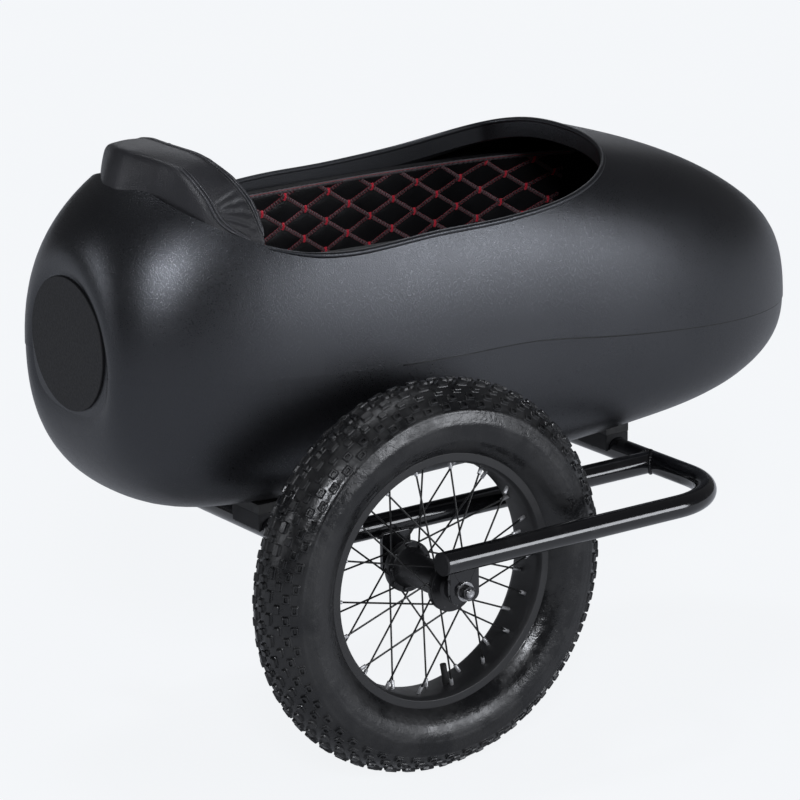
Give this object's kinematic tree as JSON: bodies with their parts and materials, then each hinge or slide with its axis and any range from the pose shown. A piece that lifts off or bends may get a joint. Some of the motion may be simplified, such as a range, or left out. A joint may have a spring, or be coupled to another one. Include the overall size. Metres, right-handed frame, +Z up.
{
  "type": "bicycle sidecar",
  "caption": "Bicycle sidecar with a moulded pod, a quilted cockpit and a fat-tyred wire wheel on a bent-tube chassis.",
  "frame": {"origin": "middle of the rear coupling eye, on its pivot line", "axes": "+X forward, +Y towards the bicycle (to the left), +Z up"},
  "size_m": [1.095, 0.6433, 0.7594],
  "materials": {
    "pod": "satin black, fine grained moulding",
    "disc": "smooth matt black",
    "frame": "gloss black paint",
    "steel": "bright zinc",
    "hub": "satin black",
    "rim": "satin black",
    "spoke": "black oxide",
    "tyre": "black rubber",
    "rubber": "matt",
    "board": "plain plywood",
    "carpet": "black felt",
    "quilt": "black leathercloth quilted with red thread",
    "leather": "black leathercloth"
  },
  "bodies": {
    "chassis": {"pod_upper": "pod", "pod_lower": "pod", "tail_disc": "disc", "main_tube": "frame", "outer_rail_cap": "frame", "inner_rail": "frame", "rear_cross_tube": "frame", "rear_cross_cap": "frame", "bike_side_rail": "frame", "coupling_eye_rear": "frame", "coupling_eye_front": "frame", "dropout_outer": "frame", "dropout_inner": "frame", "pod_saddles": "frame", "saddle_rubbers": "rubber", "axle": "steel", "axle_nuts": "steel", "axle_washers": "steel", "lock_nuts": "steel", "cockpit_floor": "carpet", "bulkhead": "board", "liner_left": "quilt", "liner_right": "quilt", "seat_cushion": "quilt", "seat_back": "quilt", "headrest_pad": "leather"},
    "wheel": {"hub_shell": "hub", "rim": "rim", "tyre": "tyre", "spokes": "spoke", "spoke_nipples": "steel", "valve_stem": "rubber"}
  },
  "joints": [
    {"name": "wheel_spin", "type": "hinge", "parent": "chassis", "child": "wheel", "pos_m": [0.125, -0.53, -0.045], "axis": [0, 1, 0], "continuous": true}
  ]
}
